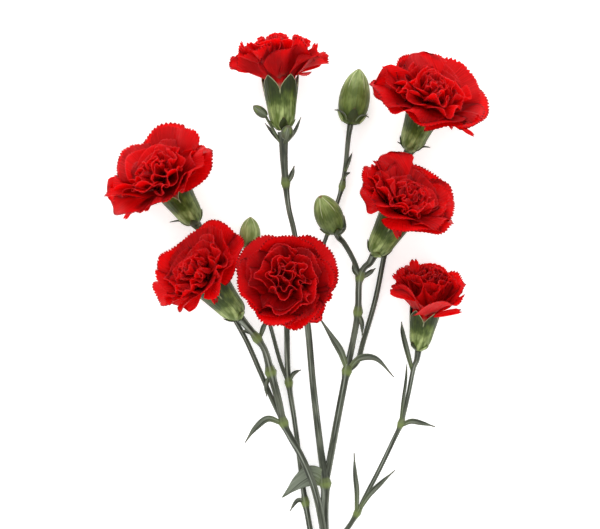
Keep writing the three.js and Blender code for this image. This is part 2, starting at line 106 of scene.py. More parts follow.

# The last value: how much painted shade darkens a bud at its foot; it grows lighter towards its tip.
BUDS = {
    "top": dict(foot=(27, 144, 7.4), turn=9, rise=0, length=30, radius=8.2, foot_shade=0.8),
    "inner_right": dict(foot=(19, 87, 14), turn=-26, rise=44, length=27, radius=7.3, foot_shade=0.85),
    "left": dict(foot=(-27, 77.5, 8.5), turn=2, rise=8, length=17, radius=5.6, foot_shade=0.4),
}
SIDE_BUDS = [
    dict(start=(-9, 131, 22.5), foot=(-17.5, 146.5, 28), turn=-52, rise=4, length=9, radius=2.6),
    dict(start=(-8.5, 132, 22.5), foot=(-7.5, 134.5, 29), turn=15, rise=25, length=8, radius=3.3),
]

# A stem's points are x, y, z and radius; nodes are the points where it swells; it ends in the foot of a
# bloom or a bud.
STEMS = {
    "stem_top": dict(to=BLOOMS["top"], nodes=[1, 2, 3, 5, 9, 13], points=[
        (20, -190, 2.6, 2.2), (16.5, -148, 3.3, 2.2), (15, -114.5, 4.5, 2.2), (13.5, -83, 6, 2.1),
        (13, -62.5, 7, 2.1), (13.5, -48.5, 8, 2.1), (11, -30, 9, 1.7), (7, 4.5, 10, 1.6), (4, 37, 12, 1.6),
        (1.5, 51.5, 13.5, 1.6), (-0.5, 68.5, 15, 1.3), (-3, 86, 17, 1.25), (-6, 99, 18.5, 1.25),
        (-7.5, 111.5, 20, 1.5), (-8.5, 125, 21.7, 1.9),
    ]),
    "stem_inner_right": dict(to=BLOOMS["inner_right"], nodes=[3, 5, 6], points=[
        (13.5, -48.5, 8, 1.7), (16.5, -33, 7.5, 1.7), (20.5, -11.5, 7, 1.7), (25, 11.5, 6.5, 1.7),
        (28.5, 28.5, 6.5, 1.5), (31, 43, 7, 1.6), (32, 62, 8, 1.6), (34.5, 67.5, 8.5, 1.5),
    ]),
    "stem_right": dict(to=BLOOMS["right"], nodes=[5], points=[
        (25, 11.5, 6.5, 1.3), (30.5, 16.5, 5, 1.3), (34, 27.5, 4, 1.3), (40.5, 50, 3.5, 1.3),
        (45.5, 74, 2.6, 1.3), (51.5, 98.5, 2.4, 1.3), (55.3, 119, 2.4, 1.5),
    ]),
    "stem_inner_left": dict(to=BLOOMS["inner_left"], nodes=[5, 7, 9], points=[
        (13.5, -83, 6, 1.7), (11.5, -67.5, 10, 1.7), (7, -48, 14, 1.7), (0.5, -32.5, 14, 1.6),
        (-5, -23, 13, 1.6), (-8.5, -16, 12, 1.6), (-11.5, -3.5, 10.5, 1.8), (-15.5, 11, 9.5, 2),
        (-19, 23.5, 9, 1.6), (-22.5, 29, 9, 1.6),
    ]),
    "stem_left": dict(to=BLOOMS["left"], nodes=[5], points=[
        (-8.5, -16, 12, 1.2), (-14, -5, 9, 1.2), (-20.5, 9.5, 6, 1.2), (-28.5, 27.5, 4, 1.2),
        (-36, 41.5, 2.6, 1.2), (-44.5, 60.5, 2.4, 1.3), (-50, 79.5, 2.4, 1.5),
    ]),
    "stem_centre": dict(to=BLOOMS["centre"], nodes=[3, 7], points=[
        (15, -114.5, 4.5, 1.4), (9.5, -95, 4, 1.4), (6, -76.5, 3, 1.4), (3, -59.5, 3, 1.4),
        (1.5, -49.5, 3, 1.3), (-0.5, -33.5, 3, 1.2), (-3, -14.5, 3, 1.2), (-6, 5, 4, 1.4),
        (-6.8, 17.5, 4, 1.4), (-7, 31, 4.5, 1.4), (-7.2, 41, 8, 1.4),
    ]),
    "stem_low_right": dict(to=BLOOMS["low_right"], nodes=[3, 7], points=[
        (13.5, -83, 6, 1.2), (18, -79.5, 5.5, 1.2), (24.5, -74, 4.5, 1.2), (30.5, -65, 4, 1.2),
        (35.5, -55, 4, 1.1), (43, -40.5, 4, 1.1), (50, -26, 4, 1.1), (54, -17, 5, 1.1), (58, -1, 6, 1.1),
        (61, 14, 7, 1.2),
    ]),
    "twig_bud_top": dict(to=BUDS["top"], nodes=[4], points=[
        (1.5, 51.5, 13.5, 1), (7, 66, 9, 1), (13.5, 82, 6, 1), (19, 99, 4, 1), (22.5, 110.5, 4, 1.1),
        (24.5, 122.5, 5, 1.1),
    ]),
    "twig_bud_inner_right": dict(to=BUDS["inner_right"], nodes=[], points=[
        (32, 62, 8, 1.2), (29, 70.5, 10, 1.2), (23, 81, 11.5, 1.3),
    ]),
    "twig_bud_left": dict(to=BUDS["left"], nodes=[], points=[
        (-6, 5, 4, 1), (-10, 15, 5, 1), (-16, 36.5, 6, 1), (-22, 58, 7, 1),
    ]),
}

# Leaves and bracts on each stem: width, the points of the midrib, and how far the leaf is folded along it
# where that isn't a half. The hair-thin bracts at the feet of blooms and buds come last.
LEAVES = {
    "stem_top": [
        (11, [(12.5, -47, 9), (7, -43.5, 10), (0.5, -46.5, 9.6), (-9.5, -55.5, 8.4)], 0.06),
        (5, [(16, -148, 3.6), (9, -132, 6), (-1, -115, 6), (-10, -96, 3)], 0.3),
        (5, [(17, -147, 3.6), (23, -130, 6), (30, -108, 5), (34, -88, 2)], 0.3),
        (4.5, [(15.5, -114, 5.2), (20, -102, 8), (24, -92, 8), (27, -84, 6.5)], 0.3),
        (2.4, [(-7, 111.5, 20.5), (-4.5, 116, 22.5), (-3, 121, 23)]),
        (1.6, [(-9, 132, 23), (-14, 138, 21.5), (-18.5, 143.5, 22)]),
        (1.6, [(-8.5, 132, 23.5), (-3, 138.5, 26), (0.5, 146, 28)]),
    ],
    "stem_inner_right": [
        (3.6, [(25, 13, 7.5), (22, 22, 9), (17.5, 29.5, 9), (9.5, 42, 7)]),
        (3.2, [(25.8, 13, 7.5), (32, 19, 9.5), (40, 19, 9.5), (50.5, 8.5, 5)]),
        (2.2, [(31.4, 43, 7.6), (33, 38, 9), (33.3, 31, 8)]),
        (2.4, [(32, 62, 9), (29, 66, 12), (28, 70, 13.5)]),
        (2.4, [(32.4, 61.5, 8.5), (37, 64.5, 8.5), (40.5, 67, 7)]),
    ],
    "stem_right": [
        (2, [(51.5, 98, 3), (49, 103, 5), (47.5, 108, 5)]),
        (2, [(51.8, 98.5, 3), (56, 102, 4.5), (59, 107, 4)]),
        (0.8, [(57, 126.5, 7.5), (56.3, 131.5, 10.5), (52, 134.6, 10)], 0.6),
        (0.8, [(58.8, 126.5, 7.5), (61.4, 129.4, 11), (65.2, 131.6, 12), (69.7, 131.6, 10)], 0.6),
    ],
    "stem_inner_left": [
        (3.2, [(-8.8, -16, 12.8), (-17, -13, 13.5), (-24, -18.5, 10.5), (-29.5, -26.5, 7)]),
        (2, [(-16, 10.5, 9), (-18, 4.5, 10.5), (-17.8, -1.5, 9.5)]),
        (2.4, [(-21.4, 30, 7.5), (-19.5, 35.5, 9.5), (-17.5, 40, 9.5)]),
        (2.4, [(-22, 30.5, 7), (-27, 33, 7), (-31.5, 33.5, 5.5)]),
    ],
    "stem_left": [
        (2, [(-44.5, 60, 3), (-42.5, 66, 4.6), (-42, 71, 4.8)]),
        (2, [(-44.8, 60.5, 3), (-50, 64, 4), (-54, 66.5, 3.4)]),
        (0.8, [(-54, 88, 7), (-54.3, 93.5, 11), (-52, 97, 12)], 0.6),
        (0.8, [(-55, 87.5, 7), (-60, 91.2, 9), (-64.5, 92.4, 9), (-69.9, 91.7, 7)], 0.6),
    ],
    "stem_centre": [
        (2, [(2.8, -59, 3.6), (-1, -57.5, 5), (-5.5, -63.5, 4.5)]),
        (2, [(-6, 5.5, 4.8), (-3.5, 10.5, 6.2), (0.5, 12.5, 6)]),
    ],
    "stem_low_right": [
        (2.4, [(30.3, -65, 4.6), (30.5, -53, 6.5), (29.5, -43, 7), (29, -32, 6.5)]),
        (2.6, [(30.8, -64.5, 4.4), (37, -54.5, 6.5), (43.5, -48, 6.5), (51, -41.5, 5)]),
        (2.6, [(54, -17.5, 5.6), (59.5, -15, 7), (65.5, -16, 7), (72.5, -18, 6)]),
        (2.4, [(60.5, 11, 7.4), (57.5, 22, 8), (54.8, 33, 9), (54.3, 38.5, 9)], 0.7),
        (1.4, [(53.8, -17, 5.6), (55, -5, 8.5), (56.5, 7, 10), (57, 16, 10.5)], 0.7),
    ],
    "twig_bud_top": [
        (0.5, [(25, 146, 13), (23.5, 149, 14.5), (21, 150.8, 14.5), (18.3, 151.3, 13)], 0.6),
        (0.5, [(29.5, 145.5, 13), (31.5, 147.8, 14.5), (34, 148.4, 14), (36.8, 147.4, 12.5)], 0.6),
        (1.6, [(24.3, 119, 5.5), (25.9, 123.5, 7), (28, 129, 7)], 0.6),
        (1.2, [(23.4, 115, 5.2), (25, 117.4, 6.5), (27, 118.4, 6)], 0.6),
    ],
    "twig_bud_inner_right": [(1.2, [(20.5, 84.5, 14), (23.6, 88, 18), (23.8, 93, 20)], 0.6)],
}

# Where the margins of the outermost petals show against the table, x and y, as the camera sees them,
# going round each bloom. The top bloom is seen from its side, so its petals keep to their whorl's own
# turn and lean.
MARGINS = {
    "left": [(-49, 127), (-70, 145), (-97, 132.5), (-105, 106), (-101, 97), (-75, 103)],
    "inner_left": [(-31, 78.5), (-48.5, 93.5), (-74, 78), (-80, 58.5), (-69, 49), (-58, 51)],
    "centre": [(-6.5, 85), (19, 76.5), (18.5, 57), (8, 40), (-20, 39), (-34, 57.5), (-31, 80)],
    "inner_right": [(34, 119), (45, 134), (70.5, 120.5), (84, 106), (81.5, 90), (65, 87), (43, 99)],
    "right": [(42, 166), (59, 192), (91, 175), (102, 152), (92, 145), (72, 145)],
    "low_right": [(61, 71), (76, 69.5), (88, 61), (80, 50), (52.5, 57.5)],
}

# The single petals that lie over each bloom's whorls or stray out of its outline, broad and narrow: width
# and points.
STRAYS = {
    "top": [
        (9.5, [(-17, 170, 28), (-24, 172.5, 29), (-31, 174, 29), (-37.5, 173.5, 28)]),
        (3, [(3, 172, 28), (6, 178, 29), (7.8, 182, 29), (8.6, 184.9, 28.5)]),
        (1.8, [(4, 172, 26), (8.5, 175.6, 26), (12, 178, 25.5), (15.4, 178.7, 25)]),
    ],
    "left": [
        (22, [(-84, 112, 26), (-90, 108, 23), (-96, 104.5, 17), (-101, 101.5, 11)]),
        (2.2, [(-86, 102, 20), (-89, 98.5, 18), (-91.5, 95.5, 15), (-93.6, 93.2, 12)]),
        (1.8, [(-79, 105, 20), (-81, 101.8, 17), (-83.2, 98.6, 14)]),
    ],
    "inner_left": [
        (3.5, [(-48, 62, 33), (-47, 58, 33), (-45.5, 53, 31), (-44, 48.5, 28)]),
        (21, [(-49, 62, 33), (-56, 57.5, 33), (-63, 53.5, 30), (-69, 50.5, 25)]),
    ],
    "centre": [
        (4, [(-5.5, 46, 50), (-5.7, 42, 50), (-5.2, 38, 48.5), (-5, 36.6, 48)]),
        (11, [(2, 52, 50), (5, 47.5, 50), (8, 43, 48), (10.5, 39.5, 45)]),
        (11, [(-14, 53, 50), (-17, 49, 50), (-19.5, 45, 48), (-21.5, 42, 46)]),
    ],
    "inner_right": [
        (4.5, [(45.5, 98, 38), (47, 93.5, 38), (49.5, 88, 34), (51.6, 82.8, 30)]),
        (25, [(52, 110, 32), (49.5, 116.5, 32), (46.5, 122.5, 28), (44, 127.5, 24)]),
        (23, [(49, 102, 38), (43.5, 104.5, 38), (37.5, 107, 34), (31.5, 109, 28)]),
    ],
    "right": [
        (27, [(67, 162, 30), (65, 168.5, 30), (62.5, 175, 27), (61, 181, 23)]),
        (23, [(61, 162, 34), (53.5, 162.5, 34), (46, 161, 30), (38, 159, 25)]),
        (2.4, [(78, 147, 26), (83, 143, 23), (88, 139.5, 19), (92.4, 137.2, 16)]),
        (1.8, [(76, 146, 24), (79, 142.5, 21), (80.5, 140.5, 19)]),
    ],
    "low_right": [
        (3.2, [(66, 42, 20), (72, 42.3, 22), (79, 43.6, 22), (85.3, 44.4, 20)]),
        (2.6, [(58, 55, 22), (54, 59.4, 23), (51, 62, 23), (48.8, 64, 22)]),
        (2.4, [(57, 57, 24), (55, 61, 25), (53.8, 64.5, 25), (52.8, 67.6, 24)]),
        (5, [(61, 60, 24), (60.5, 66, 25), (60, 72, 25)]),
        (6, [(62, 50, 26), (56, 52.5, 27), (51, 55, 26), (48, 57, 24)]),
    ],
}

# ---- Curves and frames ----


def unit(vectors):
    """Vectors, each divided by its length."""
    return vectors / np.maximum(np.linalg.norm(vectors, axis=-1, keepdims=True), 1e-9)


def spline(points, t):
    """Centripetal Catmull-Rom curve: t from 0 to 1 runs through the points, an equal share to each span.
    Within a span it is the cubic whose end slopes come from the neighbours, weighted by the square roots
    of the chords."""
    points = np.asarray(points, float)
    ends = [2 * points[:1] - points[1:2], points, 2 * points[-1:] - points[-2:-1]]
    padded = np.concatenate(ends)
    spans = len(points) - 1
    place = np.clip(np.asarray(t, float), 0, 1) * spans
    k = np.minimum(place.astype(int), spans - 1)
    w = (place - k)[:, None]
    p0, p1, p2, p3 = (padded[k + i] for i in range(4))
    d0, d1, d2 = (np.sqrt(np.linalg.norm(b - a, axis=1))[:, None] for a, b in ((p0, p1), (p1, p2), (p2, p3)))
    m1 = ((p1 - p0) / d0 - (p2 - p0) / (d0 + d1) + (p2 - p1) / d1) * d1
    m2 = ((p2 - p1) / d1 - (p3 - p1) / (d1 + d2) + (p3 - p2) / d2) * d1
    return p1 + m1 * w + (3 * (p2 - p1) - 2 * m1 - m2) * w**2 + (2 * (p1 - p2) + m1 + m2) * w**3


def axis_of(head):
    """The way a bloom or bud points: its turn in plan and its rise above the table."""
    turn, rise = np.radians(head["turn"]), np.radians(head["rise"])
    return np.array([np.sin(turn) * np.cos(rise), np.cos(turn) * np.cos(rise), np.sin(rise)])


def placed(head, points):
    """Points of a head's own frame, moved to where it is: x along the level axis, y along the third, z
    along the head's axis, from its foot."""
    axis = axis_of(head)
    level = unit(np.array([axis[1], -axis[0], 0]))
    third = np.cross(axis, level)
    return points @ np.stack([level, third, axis]) + np.array(head["foot"], float)


def distances(line):
    """How far along a line each of its points lies: the running sum of its chords."""
    return np.concatenate([[0], np.cumsum(np.linalg.norm(np.diff(line, axis=0), axis=1))])


def frames_along(line):
    """Directions along a line, level across it, and up: cross products with +Z."""
    along = unit(np.gradient(line, axis=0))
    across = unit(np.cross(along, np.array([0.0, 0.0, 1.0])))
    return along, across, np.cross(across, along)


def turned(r, angle, height):
    """Points of a body of revolution: r times the cosine and the sine of the angle, and the height."""
    return np.stack(np.broadcast_arrays(r * np.cos(angle), r * np.sin(angle), height), -1)


def around(sides):
    """Angles of a ring's points, evenly spread over a full turn."""
    return np.arange(sides) * 2 * np.pi / sides


def rings_about(line, sides, radius):
    """Rings along a line: each point moved across by the cosine and down by the sine of the angle, times
    the radius there."""
    _, across, up = frames_along(line)
    angle = around(sides)[:, None]
    ring = across[:, None] * np.cos(angle) - up[:, None] * np.sin(angle)
    return line[:, None] + ring * radius


def smooth(x):
    """Smoothstep of x held between 0 and 1: 3x squared less 2x cubed."""
    x = np.clip(x, 0, 1)
    return x * x * (3 - 2 * x)


def laid(points, gap=TABLE_GAP):
    """Points lifted clear of the table: z becomes a soft maximum of z and the gap. It is the gap plus the
    log of one plus e to the height above it, both in units of TABLE_SOFT, so a blade that would pass
    through the table bends along it."""
    lifted = points.copy()
    lifted[..., 2] = gap + TABLE_SOFT * np.logaddexp(0, (points[..., 2] - gap) / TABLE_SOFT)
    return lifted


# ---- Meshes ----


class Tissue:
    """The points, faces, UVs and values of one piece, patch by patch."""

    def __init__(self):
        self.points, self.faces, self.uvs, self.values, self.count = [], [], [], {}, 0

    def add(self, points, faces, uv, **values):
        """Adds a patch. A face is four corners, or three and a -1."""
        faces = np.asarray(faces)
        self.points.append(points)
        self.faces.append(np.where(faces < 0, -1, faces + self.count))
        self.uvs.append(uv)
        for name, value in values.items():
            self.values.setdefault(name, []).append((self.count, np.broadcast_to(value, len(points))))
        self.count += len(points)

    def make(self, name, material, slot, *nodes):
        """Makes the piece's object at the origin, riding on the part, and lets it stand for its CAD
        nodes."""
        mesh = bpy.data.meshes.new(name)
        faces = np.concatenate(self.faces)
        corners = faces[faces >= 0]
        sizes = (faces >= 0).sum(1)
        mesh.vertices.add(self.count)
        mesh.vertices.foreach_set("co", (np.concatenate(self.points) * MM).ravel())
        mesh.loops.add(len(corners))
        mesh.loops.foreach_set("vertex_index", corners.astype(np.int32))
        mesh.polygons.add(len(sizes))
        mesh.polygons.foreach_set("loop_start", (np.cumsum(sizes) - sizes).astype(np.int32))
        mesh.polygons.foreach_set("use_smooth", np.ones(len(sizes), bool))
        layer = mesh.uv_layers.new(name="UVMap")
        layer.data.foreach_set("uv", np.concatenate(self.uvs)[corners].ravel())
        for key, runs in self.values.items():
            full = np.zeros(self.count)
            for start, run in runs:
                full[start : start + len(run)] = run
            mesh.attributes.new(key, "FLOAT", "POINT").data.foreach_set("value", full)
        mesh.update(calc_edges=True)
        mesh.materials.append(material)
        piece = put(name, mesh)
        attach(piece, "root")
        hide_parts(*nodes)
        return piece


def grid_faces(rows, columns):
    """The quads of a grid of rows by columns cells, facing along du x dv."""
    first = np.arange(rows)[:, None] * (columns + 1) + np.arange(columns)
    quads = np.stack([first, first + 1, first + columns + 2, first + columns + 1], -1)
    return quads.reshape(-1, 4)


def ring_faces(rows, sides):
    """The quads of a wall of rings, each joined round to its own start, and fans to a middle point at both
    ends. The middle points come after the rings."""
    k = np.arange(sides)
    after = (k + 1) % sides
    row = np.arange(rows - 1)[:, None] * sides
    wall = np.stack([row + k, row + after, row + sides + after, row + sides + k], -1).reshape(-1, 4)
    none, low, high = (np.full(sides, value) for value in (-1, rows * sides, rows * sides + 1))
    last = (rows - 1) * sides
    foot = np.stack([low, after, k, none], -1)
    top = np.stack([high, last + k, last + after, none], -1)
    return np.concatenate([wall, foot, top])


def add_blade(tissue, surface, thickness, uv, **values):
    """A thin blade: a grid of points moved out both ways by half its thickness along its normal, du x dv,
    and joined round its rim. Values are grids over the same points."""
    shape = surface.shape[:2]
    normal = unit(np.cross(np.gradient(surface, axis=1), np.gradient(surface, axis=0)))
    half = np.broadcast_to(thickness, shape)[..., None] / 2
    points = np.concatenate([surface + normal * half, surface - normal * half]).reshape(-1, 3)
    front = grid_faces(shape[0] - 1, shape[1] - 1)
    back = shape[0] * shape[1]
    index = np.arange(back).reshape(shape)
    loop = np.concatenate([index[0, :-1], index[:-1, -1], index[-1, :0:-1], index[:0:-1, 0]])
    after = np.roll(loop, -1)
    rim = np.stack([loop, loop + back, after + back, after], -1)
    faces = np.concatenate([front, front[:, ::-1] + back, rim])
    twice = {key: np.tile(np.broadcast_to(value, shape).ravel(), 2) for key, value in values.items()}
    tissue.add(points, faces, np.tile(uv.reshape(-1, 2), (2, 1)), **twice)


def add_rings(tissue, rings, uv, **values):
    """A closed body from rings of points (rows, sides, 3), each end drawn in to its middle."""
    rows, sides = rings.shape[:2]

    def with_ends(grid):
        grid = np.broadcast_to(grid, (rows, sides) + np.shape(grid)[2:])
        flat = grid.reshape((rows * sides,) + grid.shape[2:])
        return np.concatenate([flat, grid[0].mean(0)[None], grid[-1].mean(0)[None]])

    full = {key: with_ends(value) for key, value in values.items()}
    tissue.add(with_ends(rings), ring_faces(rows, sides), with_ends(uv), **full)


def skin_uv(across, along):
    """UVs in metres, from lengths in millimetres across and along a skin."""
    return np.stack(np.broadcast_arrays(across, along), -1) * MM


# ---- Materials ----

# The sockets of a Mix node that mixes colours, and its output.
FACTOR, BELOW, ABOVE, MIXED = 0, 6, 7, 2


def linear(code):
    """An sRGB hex colour as linear red, green, blue and alpha."""
    channels = np.array([(code >> shift) & 255 for shift in (16, 8, 0)]) / 255
    value = np.where(channels <= 0.04045, channels / 12.92, ((channels + 0.055) / 1.055) ** 2.4)
    return (*value, 1.0)


def fill(tree, node, sockets):
    """Sets a node's sockets to values, or links them where another node's output is given."""
    for socket, value in sockets.items():
        if isinstance(value, bpy.types.NodeSocket):
            tree.links.new(value, node.inputs[socket])
        else:
            node.inputs[socket].default_value = value


def add(tree, kind, sockets=None, **settings):
    """Adds a node with its settings, and fills its sockets."""
    node = tree.nodes.new(kind)
    for key, value in settings.items():
        setattr(node, key, value)
    fill(tree, node, sockets or {})
    return node


def blank(name, *keys):
    """A new material, its node tree, its shader, and the outputs that read the pieces' own values."""
    material = bpy.data.materials.new(name)
    material.use_nodes = True
    tree = material.node_tree
    values = [add(tree, "ShaderNodeAttribute", attribute_name=key).outputs["Fac"] for key in keys]
    return material, tree, tree.nodes["Principled BSDF"], *values


def coats(tree, base, layers):
    """Coats of colour laid over a base, one after another. As a coat's value goes from low to high, the
    share that it covers goes from least to most as a smoothstep. A colour is an sRGB code or an output."""
    for value, low, high, least, most, colour in layers:
        ends = {"Value": value, "From Min": low, "From Max": high, "To Min": least, "To Max": most}
        share = add(tree, "ShaderNodeMapRange", ends, interpolation_type="SMOOTHSTEP").outputs["Result"]
        below, above = (linear(c) if isinstance(c, int) else c for c in (base, colour))
        mix = add(tree, "ShaderNodeMix", {FACTOR: share, BELOW: below, ABOVE: above}, data_type="RGBA")
        base = mix.outputs[MIXED]
    return base


def grain(tree, across, along, detail=3.0, source="UV"):
    """The output of a noise of a size in millimetres across and along the UVs or Object coordinates."""
    coordinates = add(tree, "ShaderNodeTexCoord").outputs[source]
    scale = (1 / (across * MM), 1 / (along * MM), 1 / (along * MM))
    mapped = add(tree, "ShaderNodeMapping", {"Vector": coordinates, "Scale": scale}).outputs["Vector"]
    return add(tree, "ShaderNodeTexNoise", {"Vector": mapped, "Scale": 1.0, "Detail": detail}).outputs["Fac"]


def petal_tissue():
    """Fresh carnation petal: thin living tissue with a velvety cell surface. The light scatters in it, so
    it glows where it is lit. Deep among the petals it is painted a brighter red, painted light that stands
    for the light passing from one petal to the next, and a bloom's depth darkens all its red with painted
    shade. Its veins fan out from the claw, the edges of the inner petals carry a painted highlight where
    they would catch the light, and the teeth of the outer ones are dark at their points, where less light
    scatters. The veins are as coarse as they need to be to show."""
    material, tree, shader, reach, tone, tip, rim, deep, shade, claw = blank(
        "fresh_petal_tissue", "reach", "tone", "tip", "rim", "deep", "shade", "claw"
    )
    veins = grain(tree, 0.55, 14)
    blotches = grain(tree, 6, 9, 2.0)
    base = coats(tree, 0xA00408, [
        (reach, 0.2, 0.9, 0, 1, 0xAC070B),
        (tone, 0, 1, 0, 0.6, 0xCC0D10),
        (blotches, 0.45, 0.75, 0, 0.4, 0x940408),
        (veins, 0.5, 0.7, 0, 0.55, 0x780306),
        (veins, 0.3, 0.45, 0.5, 0, 0xDC1E20),
        # deep: painted light, a brighter red where crowded petals would pass light to one another
        (deep, 0, 1, 0, 0.7, 0xC6090B),
        # shade: painted shade, darkening a whole bloom's red as far as its depth says
        (shade, 0, 1, 0, 0.8, 0x880003),
        # rim: a painted highlight on the margins that would catch the light
        (rim, 0, 1, 0, 0.7, 0xBE2228),
        (tip, 0, 1, 0, 0.9, 0x3E050A),
        (claw, 0, 1, 0, 1, 0xD9B394),
    ])
    # Less light scatters in the dark points of the teeth.
    scatter_ends = {"Value": tip, "To Min": 0.85, "To Max": 0.2}
    scatter_weight = add(tree, "ShaderNodeMapRange", scatter_ends, interpolation_type="SMOOTHSTEP").outputs["Result"]
    relief = add(tree, "ShaderNodeBump", {"Height": veins, "Distance": 0.25 * MM, "Strength": 0.8})
    fill(tree, shader, {
        "Base Color": base, "Roughness": 0.55, "Specular IOR Level": 0.07, "Subsurface Weight": scatter_weight,
        "Subsurface Radius": (1.0, 0.12, 0.08), "Subsurface Scale": 0.004, "Normal": relief.outputs["Normal"],
    })
    return material


def calyx_skin(name, ribbed, waxed):
    """Carnation calyx or bud: a smooth waxy green skin over fine ribs. It is dark green where the wax is
    thin, glaucous where the wax is left, and papery pale along the margins of the teeth; the pale wax
    pattern also stands in for painted highlights. Its height paints shade: a calyx darkens towards its top,
    where the petals shade it, and a bud towards its foot, lightening with painted light to its tip. Its
    dark value darkens the narrow scales and adds painted shade at the top of a calyx. Ribbed is how dark
    the ribs are drawn, and waxed is the range of the wax's pattern and how much of it shows at either end.
    The ribs are as coarse as they need to be to show."""
    material, tree, shader, height, edge, dark, tip = blank(name, "height", "edge", "dark", "tip")
    ribs = grain(tree, 0.7, 14)
    # height paints shade: the wax and the skin darken towards the top of a calyx, under the petals, and
    # towards the foot of a bud.
    wax = coats(tree, 0xCFDC96, [(height, 0.1, 0.8, 0, 1, 0x72881E)])
    base = coats(tree, 0x4B6010, [
        (height, 0.1, 0.8, 0, 1, 0x1F2F01),
        # The pale wax pattern is partly glaucous wax and partly painted highlight.
        (grain(tree, 3, 7, 2.0), *waxed, wax),
        (ribs, 0.45, 0.7, 0, ribbed, 0x182502),
        # dark: the narrow dark scales, and painted shade on the top of a calyx under its petals
        (dark, 0, 1, 0, 0.85, 0x1E2608),
        (edge, 0.25, 1, 0, 0.9, 0xC2C79A),
        (tip, 0, 1, 0, 1, 0x6E5B33),
    ])
    relief = add(tree, "ShaderNodeBump", {"Height": ribs, "Distance": 0.1 * MM, "Strength": 0.6})
    fill(tree, shader, {
        "Base Color": base, "Roughness": 0.45, "Specular IOR Level": 0.25, "Subsurface Weight": 0.08,
        "Subsurface Radius": (0.5, 1.0, 0.3), "Subsurface Scale": 0.001, "Normal": relief.outputs["Normal"],
    })
    return material


def stem_skin():
    """Carnation stem and leaf: a hard green skin under a grey wax bloom, finely striped along its length,
    greener and yellower at the swollen nodes, with pale pith where it is cut. The stripes are as coarse
    as they need to be to show."""
    material, tree, shader, knot, dry, cut, blade = blank(
        "waxy_grey_green_stem_skin", "knot", "dry", "cut", "blade"
    )
    stripes = grain(tree, 0.9, 40)
    base = coats(tree, 0x30352A, [
        (grain(tree, 2.5, 18), 0.35, 0.7, 0, 1, 0x656A5A),
        (blade, 0, 1, 0, 0.6, 0x808977),
        (stripes, 0.52, 0.68, 0, 0.75, 0x1C1F13),
        (stripes, 0.32, 0.46, 0.8, 0, 0x9CA295),
        (knot, 0.1, 1, 0, 0.7, 0x768645),
        (dry, 0, 1, 0, 0.9, 0x54513F),
        (cut, 0.5, 1, 0, 1, 0xC9D3A4),
    ])
    relief = add(tree, "ShaderNodeBump", {"Height": stripes, "Distance": 0.06 * MM, "Strength": 0.5})
    fill(tree, shader, {
        "Base Color": base, "Roughness": 0.5, "Specular IOR Level": 0.25, "Normal": relief.outputs["Normal"],
    })
    return material


def table_board():
    """Milky white acrylic of a photographer's light table: matt, with the faintest mottle, and softly lit
    from below, so what lies on it throws hardly a shadow."""
    material, tree, shader = blank("milky_white_acrylic")
    mottle = {
        FACTOR: grain(tree, 60, 60, 2.0, "Object"), BELOW: linear(0xF3F3F2), ABOVE: linear(0xF8F8F7),
    }
    fill(tree, shader, {
        "Base Color": add(tree, "ShaderNodeMix", mottle, data_type="RGBA").outputs[MIXED],
        "Roughness": 0.7, "Emission Color": linear(0xFFFFFF), "Emission Strength": 0.45,
    })
    return material


PETAL = petal_tissue()
CALYX = calyx_skin("waxy_green_calyx_skin", 0.5, (0.38, 0.8, 0.05, 0.75))
BUD = calyx_skin("waxy_green_bud_skin", 0.25, (0.35, 0.8, 0.12, 0.52))
STEM = stem_skin()

# ---- Petals ----

CALYX_MOUTH = 20.5  # height of the notches between the calyx teeth
CALYX_TIP = 29.3
CALYX_FOOT = 0.5
CALYX_FLOOR = 14  # how deep the calyx is open inside
CALYX_RADIUS = 8  # about the radius of its wall, for its pattern
TOOTH_TURN = np.radians(20)
PETAL_START = 29.0  # height where the outermost petals bend out
PETAL_THICKNESS = 0.4
BODY_RADIUS = 7  # about the radius of a bloom's core and of a bud, for their patterns

# The whorls of a full bloom, from the outside in: how many petals; the radius and the height above
# PETAL_START where their limbs begin; their first lean and the share of the bloom's flare that they bend
# to; the share of its limb length; half the fan's angle; how steeply and in how many waves they fold; how
# far the margin curls back; the number and depth of the teeth; over what length they bend out; and the
# share of the crown's own height that they take. A whorl with margins of its own has a petal for each of
# them.
WHORLS = [
    (5, (6.2, -3.5), (0.50, 0.86), 0.98, 0.88, 0.30, 1.6, 0.20, 25, 1.1, 6.0, 0.0),
    (5, (5.6, -2.5), (0.42, 0.74), 0.95, 0.82, 0.45, 2.0, 0.15, 23, 1.1, 5.5, 0.1),
    (5, (4.8, -1.0), (0.34, 0.64), 0.89, 0.76, 0.85, 2.0, 0.15, 18, 0.6, 5.0, 0.4),
    (5, (4.0, 0.5), (0.28, 0.54), 0.84, 0.72, 1.05, 1.9, 0.10, 14, 0.5, 4.5, 0.7),
    (5, (3.2, 2.0), (0.22, 0.42), 0.78, 0.70, 1.20, 1.9, 0.00, 13, 0.5, 4.0, 0.9),
    (5, (2.2, 3.5), (0.14, 0.28), 0.73, 0.66, 1.30, 1.8, 0.00, 12, 0.5, 3.5, 1.0),
    (4, (1.2, 4.5), (0.04, 0.12), 0.68, 0.62, 1.30, 1.7, 0.00, 10, 0.5, 3.5, 1.0),
]


def waver(rng, count=7):
    """A smooth random push: a sum of a few sine waves in space, 14 to 34 mm long, each along its own
    way."""
    lengths = rng.uniform(14, 34, count)
    ways = unit(rng.normal(size=(count, 3))) * (2 * np.pi / lengths)[:, None]
    pushes = unit(rng.normal(size=(count, 3))) * (lengths / 34)[:, None]
    phases = rng.uniform(0, 2 * np.pi, count)

    def push(points):
        return np.sin(points @ ways.T + phases) @ pushes / np.sqrt(count)

    return push


